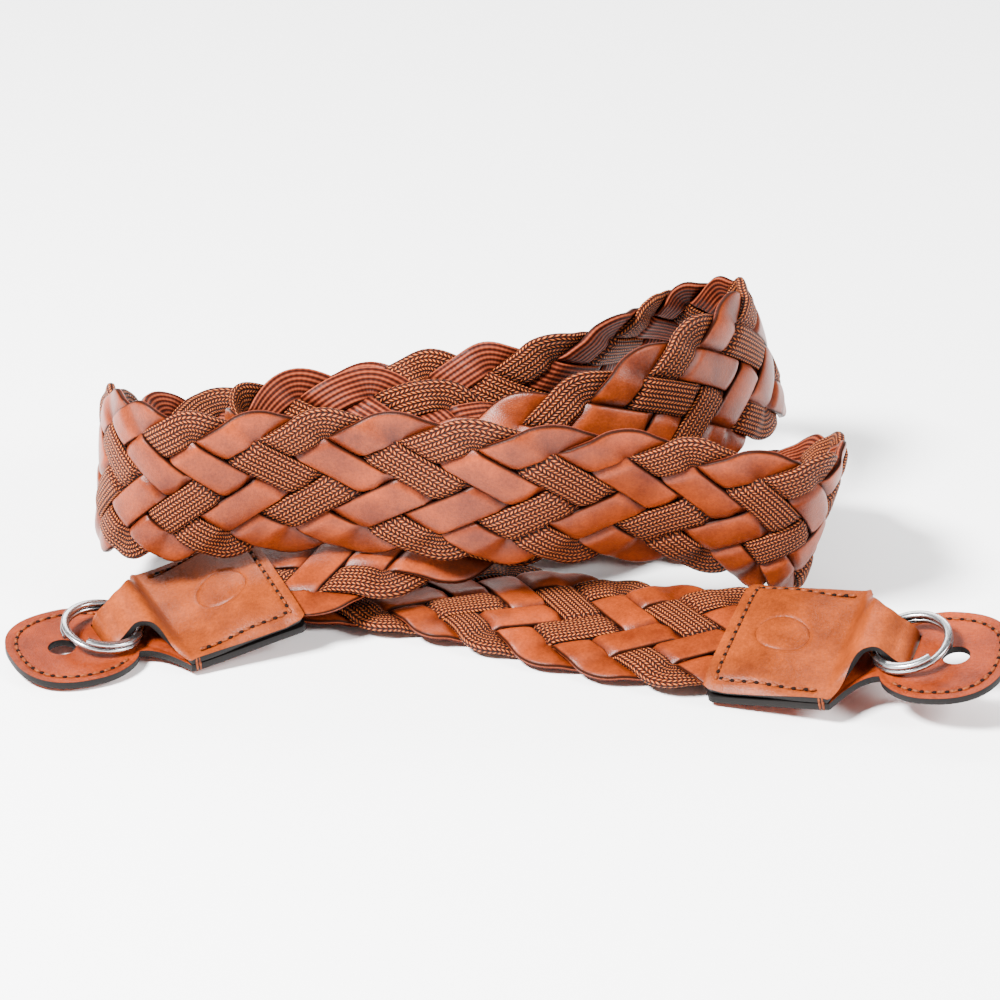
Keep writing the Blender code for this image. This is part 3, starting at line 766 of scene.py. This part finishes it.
def base_half(beyond):
    """Half width of the lower leather, from the rectangle to the tip of the flap."""
    half = 0.5 * FLAP_WIDTH
    waist = TAB_LENGTH + SHOULDER_LENGTH
    share = np.clip((beyond - waist) / (FLAP_WIDEST - waist), 0, 1)
    flap = 0.5 * WAIST_WIDTH + (half - 0.5 * WAIST_WIDTH) * np.sin(0.5 * math.pi * share) ** FLAP_SHAPE
    past = np.clip((beyond - FLAP_WIDEST) / half, 0, 1)
    tip = half * (1 - past ** TIP_SHAPE) ** (1 / TIP_SHAPE)
    past_waist = np.where(beyond > FLAP_WIDEST, tip, flap)
    return np.where(beyond > waist, past_waist, rectangle_half(beyond, 0.5 * WAIST_WIDTH))


def rim_distance(x, y):
    """Distance from a point of the lower leather to its nearest edge, measured across or round the tip."""
    sides = base_half(x) - np.abs(y)
    past = np.clip(x - FLAP_WIDEST, 0, None)
    round_tip = 0.5 * FLAP_WIDTH - (past ** TIP_SHAPE + np.abs(y) ** TIP_SHAPE) ** (1 / TIP_SHAPE)
    return np.minimum(x, np.where(x > FLAP_WIDEST, round_tip, sides))


def seam_groove(distance):
    """How far the leather is pulled down beside the seam."""
    return GROOVE_DEPTH * np.exp(-((distance - SEAM_INSET) / GROOVE_WIDTH) ** 2)


def paint_rim(obj):
    """Give the faces that stand upright in the flat piece the edge paint, the piece's second material."""
    for face in obj.data.polygons:
        face.material_index = 1 if abs(face.normal.z) < RIM_FACING else 0


def cut_with(obj, cutter):
    """Cut a hole with a Boolean and throw the cutter away."""
    use_modifier(obj, "BOOLEAN", object=cutter, operation="DIFFERENCE", solver="EXACT")
    bpy.data.objects.remove(cutter)


print("flap tip %.1f mm beyond the braid" % (1000 * FLAP_TIP))

# %% [markdown]
# The lower leather: rows of the grid are closer together at the rounded corners and tip, so that its
# outline stays round. The slot and hole are cut with a cube and a cylinder, as a punch would. The paint
# also creeps a little way in between the two leathers, so the rim of the hidden side takes it too.

# %% Lower leather with its flap
RIM_BEVEL = {"width": 0.00022, "segments": 2, "limit_method": "ANGLE", "angle_limit": math.radians(55)}
PAINT_CREEP = 0.0016
PUNCH_LENGTH = 0.01


def make_base(side, way):
    tip_turns = np.linspace(0, 0.5 * math.pi, 26)[1:]
    beyond = np.concatenate((TAB_CORNER * (1 - np.cos(np.linspace(0, 0.5 * math.pi, 7))),
                             np.linspace(TAB_CORNER, FLAP_WIDEST, 66)[1:],
                             FLAP_WIDEST + 0.5 * FLAP_WIDTH * np.sin(tip_turns) ** (2 / TIP_SHAPE)))
    obj = add_grid("stitched_base_" + side, len(beyond) - 1, 44)
    flat = read_points(obj)
    k = np.rint((flat[:, 0] + 0.5) * (len(beyond) - 1)).astype(int)
    x = beyond[k]
    y = 2 * flat[:, 1] * base_half(x)
    z = BASE_TOP - np.where(x > TAB_LENGTH, seam_groove(rim_distance(x, y)), 0)
    write_points(obj, np.column_stack((x, y, z)))
    merge_points(obj, 0.00002)
    obj.data.materials.append(flap_leather_shaded)
    obj.data.materials.append(edge_paint)
    use_modifier(obj, "SOLIDIFY", thickness=BASE_LEATHER, offset=-1)
    deselect_all()
    bpy.ops.mesh.primitive_cylinder_add(vertices=48, radius=0.5 * HOLE_DIAMETER, depth=PUNCH_LENGTH,
                                        location=(FLAP_TIP - HOLE_TO_TIP, 0, BASE_TOP))
    cut_with(obj, just_added("lug_hole_punch"))
    deselect_all()
    bpy.ops.mesh.primitive_cube_add(size=1, location=(NECK_DROP, 0, BASE_TOP),
                                    scale=(COVER_LEATHER + 2 * SEAT_GAP, NECK_WIDTH + 2 * SEAT_GAP,
                                           PUNCH_LENGTH))
    cut_with(obj, just_added("neck_slot_punch"))
    use_modifier(obj, "BEVEL", **RIM_BEVEL)
    paint_rim(obj)
    for face in obj.data.polygons:
        inside = min(face.center.x, 0.5 * TAB_WIDTH - abs(face.center.y))
        if face.center.x < TAB_LENGTH and inside < PAINT_CREEP and face.normal.z > 0.5:
            face.material_index = 1
    write_points(obj, lay_end(read_points(obj), way))
    if way < 0:
        edit_all(obj, bpy.ops.mesh.flip_normals)
    finish_piece(obj, None, "tab_base_" + side, 40)


# Each end: its name, its way along the strap, and how far its ring is rolled and pitched, in degrees.
ENDS = (("left", -1, 7.0, 6.0), ("right", 1, 7.0, 6.0))
for side, way, _, _ in ENDS:
    make_base(side, way)

# %% [markdown]
# The upper leather is one strip that is pressed over the braid's end, sewn down, and lifted over the ring.
# Its middle line is a short table: how far beyond the braid, how far out, and how much it takes of the
# neck's sideways tilt. A plain round mark is pressed into its middle, as makers press one for decoration.

# %% Upper leather with its neck
# The neck: heights of its crest and its end over the lower leather, sideways tilt, and radius of its bend.
NECK_CREST = 0.0050
NECK_END = 0.0020
NECK_LEAN = 0.13
NECK_ROUND = 0.0020
CREST_AT = 0.40
NECK_FULLNESS = 0.30
# Shares of the tab's length where the leather is seated on the lower one and where it starts to rise.
SEAT_AT = 0.91
CREASE_AT = 0.94
# Over the braid's end it runs level for one length and comes down over the other. Its sides come down too.
BULGE_LENGTH = 0.0075
BULGE_SLOPE = 0.0120
MOUTH_DROP = 0.65
SIDE_DROP = 1.0
SIDE_POWER = 6
LINE_POINTS = 150
MARK_AT = 0.0102
MARK_RADIUS = 0.0047
MARK_DEPTH = 0.00030
MARK_WIDTH = 0.00034


def side_drop(x):
    """How far the sides come down, as a share of the way to the lower leather: less at the mouth."""
    return SIDE_DROP + (MOUTH_DROP - SIDE_DROP) * np.clip(1 - x / (0.5 * BULGE_LENGTH), 0, 1)


def cover_line():
    """Middle line of the upper leather as rows (beyond, out, share of lean), finely and evenly spaced."""
    high = TUCKED_HALF + SEAT_GAP + 0.5 * COVER_LEATHER
    low = COVER_SEAT + 0.5 * COVER_LEATHER
    crest = BASE_TOP + NECK_CREST + 0.5 * COVER_LEATHER
    end = BASE_TOP + NECK_END + 0.5 * COVER_LEATHER
    rows = [(0.0, high, 0), (0.5 * BULGE_LENGTH, high, 0), (BULGE_LENGTH, high, 0)]
    for share in np.linspace(0, 1, 9)[1:]:
        drop = 0.5 - 0.5 * math.cos(math.pi * share)
        rows.append((BULGE_LENGTH + BULGE_SLOPE * share, high + (low - high) * drop, 0))
    rows.append((SEAT_AT * TAB_LENGTH, low, 0))
    start = CREASE_AT * TAB_LENGTH
    top = TAB_LENGTH + CREST_AT * NECK_SPAN
    for share in np.linspace(0, 1, 13):
        lift = 0.5 - 0.5 * math.cos(math.pi * share)
        rows.append((start + (top - start) * share, low + (crest - low) * lift, lift))
    bend = NECK_DROP - NECK_ROUND
    rows.append((0.5 * (top + bend), 0.5 * (crest + end) + NECK_FULLNESS * (crest - end), 1))
    for turn in range(7):
        angle = math.radians(15 * turn)
        rows.append((bend + NECK_ROUND * math.sin(angle), end - NECK_ROUND * (1 - math.cos(angle)),
                     1 - turn / 8))
    rows.append((NECK_DROP, BASE_TOP - BASE_LEATHER + 0.5 * SEAT_GAP, 0))
    rows = np.array(rows)
    length = np.concatenate([[0], np.cumsum(np.hypot(np.diff(rows[:, 0]), np.diff(rows[:, 1])))])
    even = np.linspace(0, length[-1], LINE_POINTS)
    line = np.column_stack([np.interp(even, length, rows[:, c]) for c in range(3)])
    softened = line.copy()
    for _ in range(6):
        softened[1:-1] = 0.25 * softened[:-2] + 0.5 * softened[1:-1] + 0.25 * softened[2:]
    return softened


def make_cover(side, way):
    line = cover_line()
    obj = add_grid("stitched_cover_" + side, len(line) - 1, 100)
    flat = read_points(obj)
    k = np.rint((flat[:, 0] + 0.5) * (len(line) - 1)).astype(int)
    share = 2 * flat[:, 1]
    x, out, lean = line[k].T
    half = rectangle_half(np.maximum(x, 0.06 * TAB_CORNER), 0.5 * NECK_WIDTH)
    y = share * half
    low = COVER_SEAT + 0.5 * COVER_LEATHER
    drop = (1 - lean) * side_drop(x) * np.maximum(out - low, 0) * np.abs(share) ** SIDE_POWER
    z = out + lean * NECK_LEAN * y - drop
    on_tab = np.clip((TAB_LENGTH - 0.0015 - x) / 0.0015, 0, 1)
    z -= on_tab * seam_groove(np.minimum(x, half - np.abs(y)))
    mark = np.hypot(x - MARK_AT, y)
    z -= MARK_DEPTH * np.exp(-((mark - MARK_RADIUS) / MARK_WIDTH) ** 2)
    write_points(obj, np.column_stack((x, y, z)))
    obj.data.materials.append(tab_leather)
    obj.data.materials.append(edge_paint)
    use_modifier(obj, "SOLIDIFY", thickness=COVER_LEATHER, offset=0, material_offset_rim=1)
    use_modifier(obj, "BEVEL", **RIM_BEVEL)
    write_points(obj, lay_end(read_points(obj), way))
    merge_and_face_out(obj, 0.000001)
    finish_piece(obj, None, "tab_cover_" + side, 40)


for side, way, _, _ in ENDS:
    make_cover(side, way)

# %% [markdown]
# ## Stitching
# The thread shows as short rounded bars about 2.2 mm apart, sunk a little, with a needle hole between
# them. One bar and one hole are modelled from a small sphere; the hole is a near-black bead of painted shade.
# Copies are set along the seam while the tab is flat, joined into one piece, and laid on the route with it.

# %% Seam lines and stitches
STITCH_PITCH = 0.0022
STITCH_LENGTH = 0.0015
STITCH_RADIUS = 0.00036
# Length, half width and half height of a needle hole and of one thread wrapped round the edge.
NEEDLE_HOLE = (0.0009, 0.00038, 0.00022)
EDGE_WRAP = (0.0006, 0.00026, 0.0015)
# The seam follows the line's first points only, because the later ones rise to the neck.
SEAM_POINTS = 60
# The seam's direction at a stitch is measured this far before and after it.
LOOK_ROUND = 0.0004


def even_points(corners, spacing):
    """Points at an even spacing along a line through corners, with the line's direction at each."""
    corners = np.array(corners)
    length = np.concatenate([[0], np.cumsum(np.linalg.norm(np.diff(corners, axis=0), axis=1))])
    count = max(int(round(length[-1] / spacing)), 2)
    at = (np.arange(count) + 0.5) * length[-1] / count
    here = np.column_stack([np.interp(at, length, corners[:, c]) for c in range(2)])
    ahead = np.column_stack([np.interp(at + LOOK_ROUND, length, corners[:, c]) for c in range(2)])
    before = np.column_stack([np.interp(at - LOOK_ROUND, length, corners[:, c]) for c in range(2)])
    return here, ahead - before


def cover_height(x, y):
    """Height of the upper leather's top at a flat point of the rectangle."""
    line = cover_line()
    out = np.interp(x, line[:SEAM_POINTS, 0], line[:SEAM_POINTS, 1])
    low = COVER_SEAT + 0.5 * COVER_LEATHER
    share = np.abs(y) / (0.5 * TAB_WIDTH)
    drop = side_drop(x) * np.maximum(out - low, 0) * share ** SIDE_POWER
    return out - drop + 0.5 * COVER_LEATHER - 0.00010


def seams():
    """The two seams of a tab: (corner points, height function). One is on the rectangle, one on the flap."""
    edge = 0.5 * TAB_WIDTH - SEAM_INSET
    stop = TAB_LENGTH - 0.0021
    rectangle = [(stop, edge), (SEAM_INSET, edge), (SEAM_INSET, -edge), (stop, -edge)]
    bend = FLAP_WIDEST
    inside = 0.5 * FLAP_WIDTH - SEAM_INSET
    start = TAB_LENGTH + SHOULDER_LENGTH + 0.0022
    run = np.linspace(start, bend, 16)
    side = [(x, base_half(np.array([x]))[0] - SEAM_INSET) for x in run]
    power = 2 / TIP_SHAPE
    turns = np.linspace(0, 0.5 * math.pi, 24)[1:]
    tip = [(bend + inside * math.sin(a) ** power, inside * abs(math.cos(a)) ** power) for a in turns]
    half = side + tip
    flap = half + [(x, -y) for x, y in reversed(half[:-1])]
    return (rectangle, cover_height), (flap, lambda x, y: BASE_TOP - 0.00012 + 0 * x)


def bead(name, length, width, height):
    """Small rounded bar made from a sphere, its length along x."""
    deselect_all()
    bpy.ops.mesh.primitive_uv_sphere_add(segments=10, ring_count=7, radius=1)
    obj = just_added(name)
    edit_all(obj, bpy.ops.transform.resize, value=(0.5 * length, width, height))
    points = read_points(obj)
    points[:, 0] = 0.5 * length * np.sign(points[:, 0]) * np.abs(points[:, 0] / (0.5 * length)) ** 0.8
    write_points(obj, points)
    return obj


def sew(name, pattern, places, way, material):
    """Copy the pattern to each place (x, y, height, direction), join the copies and lay them on the route."""
    shape = read_points(pattern)
    copies = []
    for (x, y), height, (dx, dy) in places:
        angle = math.atan2(dy, dx)
        turned = np.column_stack((shape[:, 0] * math.cos(angle) - shape[:, 1] * math.sin(angle) + x,
                                  shape[:, 0] * math.sin(angle) + shape[:, 1] * math.cos(angle) + y,
                                  shape[:, 2] + height))
        copy = pattern.copy()
        copy.data = pattern.data.copy()
        bpy.context.scene.collection.objects.link(copy)
        write_points(copy, lay_end(turned, way))
        copies.append(copy)
    deselect_all()
    for copy in copies:
        copy.select_set(True)
    bpy.context.view_layer.objects.active = copies[0]
    bpy.ops.object.join()
    merge_and_face_out(copies[0], 0.0000001)
    copies[0].name = name
    copies[0].data.name = name
    finish_piece(copies[0], material, None, 70)
    bpy.data.objects.remove(pattern)


for side, way, _, _ in ENDS:
    bars = []
    holes = []
    for corners, height in seams():
        here, ahead = even_points(corners, STITCH_PITCH)
        z = height(here[:, 0], here[:, 1])
        bars += [(tuple(p), h, tuple(d)) for p, h, d in zip(here, z, ahead)]
        between = 0.5 * (here[1:] + here[:-1])
        z = height(between[:, 0], between[:, 1])
        holes += [(tuple(p), h, tuple(d)) for p, h, d in zip(between, z, ahead[1:])]
    sew("seam_thread_" + side, bead("thread_bar", STITCH_LENGTH, STITCH_RADIUS, STITCH_RADIUS), bars, way,
        waxed_thread)
    wraps = [((TAB_LENGTH - 0.0010 - 0.0006 * n, (0.5 * TAB_WIDTH - 0.0001) * edge), BASE_TOP, (0, 1))
             for n in range(2) for edge in (-1, 1)]
    sew("edge_wraps_" + side, bead("thread_wrap", *EDGE_WRAP), wraps, way, waxed_thread)
    sew("needle_hole_shades_" + side, bead("needle_hole_shade", *NEEDLE_HOLE), holes, way, stitch_hole_shade)

# %% [markdown]
# ## Split rings
# A split ring is one flattened wire wound in two coils. The same grid that made the strands is wound here
# as a helix: x becomes the turn, y goes round the wire.

# %% Split rings
RING_OUTER = 0.0150
RING_WIRE_WIDTH = 0.0014
RING_WIRE_HEIGHT = 0.0010
RING_COIL_GAP = 0.00015
# The two coils stop two of these steps short of two full turns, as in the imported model.
RING_STEPS = 16
WIRE_SHAPE = 0.7
# Place of the ring's middle: beyond the neck's drop, to one side, and over the lower leather.
RING_AHEAD = 0.0004
RING_ASIDE = 0.0002
RING_LIFT = 0.0025
RING_OUT = NECK_DROP + RING_AHEAD


def tilted(level, out, angle):
    """Turn a level and an out distance by an angle that lifts the level's far side."""
    return level * math.cos(angle) - out * math.sin(angle), level * math.sin(angle) + out * math.cos(angle)


for side, way, roll, pitch in ENDS:
    obj = add_grid("wound_ring_" + side, 180, 18)
    flat = read_points(obj)
    turns = (2 * RING_STEPS - 2) / RING_STEPS * (flat[:, 0] + 0.5)
    angle = 2 * math.pi * turns
    around = 2 * math.pi * (flat[:, 1] + 0.5)
    wide = np.sign(np.cos(around)) * np.abs(np.cos(around)) ** WIRE_SHAPE
    tall = np.sign(np.sin(around)) * np.abs(np.sin(around)) ** WIRE_SHAPE
    reach = 0.5 * (RING_OUTER - RING_WIRE_WIDTH) + 0.5 * RING_WIRE_WIDTH * wide
    beyond = reach * np.cos(angle)
    across = reach * np.sin(angle)
    out = (RING_WIRE_HEIGHT + RING_COIL_GAP) * (turns - 1) + 0.5 * RING_WIRE_HEIGHT * tall
    beyond, out = tilted(beyond, out, math.radians(pitch))
    across, out = tilted(across, out, math.radians(roll))
    ring = np.column_stack((RING_OUT + beyond, across - RING_ASIDE, BASE_TOP + RING_LIFT + out))
    write_points(obj, lay_end(ring, way))
    close_tube(obj)
    finish_piece(obj, ring_steel, "split_ring_" + side, 45)

# %% [markdown]
# ## Floor and light
# The photograph is a product shot: a white table that fades into a white background, and broad soft light.
# Three area lights stand for softboxes: a strong one at the left front, a weak one at the right front and a
# broad one behind. A pale world fills the shadows.

# %% Studio
deselect_all()
bpy.ops.mesh.primitive_plane_add(size=6, location=(0, 0, 0))
floor = just_added("studio_floor")
floor_paint, _ = new_material("matt white table", {"Base Color": linear("FBFBFB"), "Roughness": 0.9})
floor.data.materials.append(floor_paint)

world = bpy.data.worlds.new("studio")
bpy.context.scene.world = world
world.use_nodes = True
background = world.node_tree.nodes["Background"]
background.inputs["Color"].default_value = (1, 1, 1, 1)
background.inputs["Strength"].default_value = 0.36


def add_light(name, place, aim, size, power):
    data = bpy.data.lights.new(name, "AREA")
    data.shape = "RECTANGLE"
    data.size = size[0]
    data.size_y = size[1]
    data.energy = power
    obj = bpy.data.objects.new(name, data)
    bpy.context.scene.collection.objects.link(obj)
    obj.location = place
    obj.rotation_euler = (Vector(aim) - Vector(place)).to_track_quat("-Z", "Y").to_euler()


LIGHT_AIM = (0, 0, 0.02)
add_light("key_softbox", (-0.45, -0.35, 0.65), LIGHT_AIM, (0.24, 0.18), 53)
add_light("fill_softbox", (0.55, -0.30, 0.40), LIGHT_AIM, (0.25, 0.25), 9)
add_light("back_softbox", (0.0, 0.60, 0.60), LIGHT_AIM, (0.9, 0.25), 9)
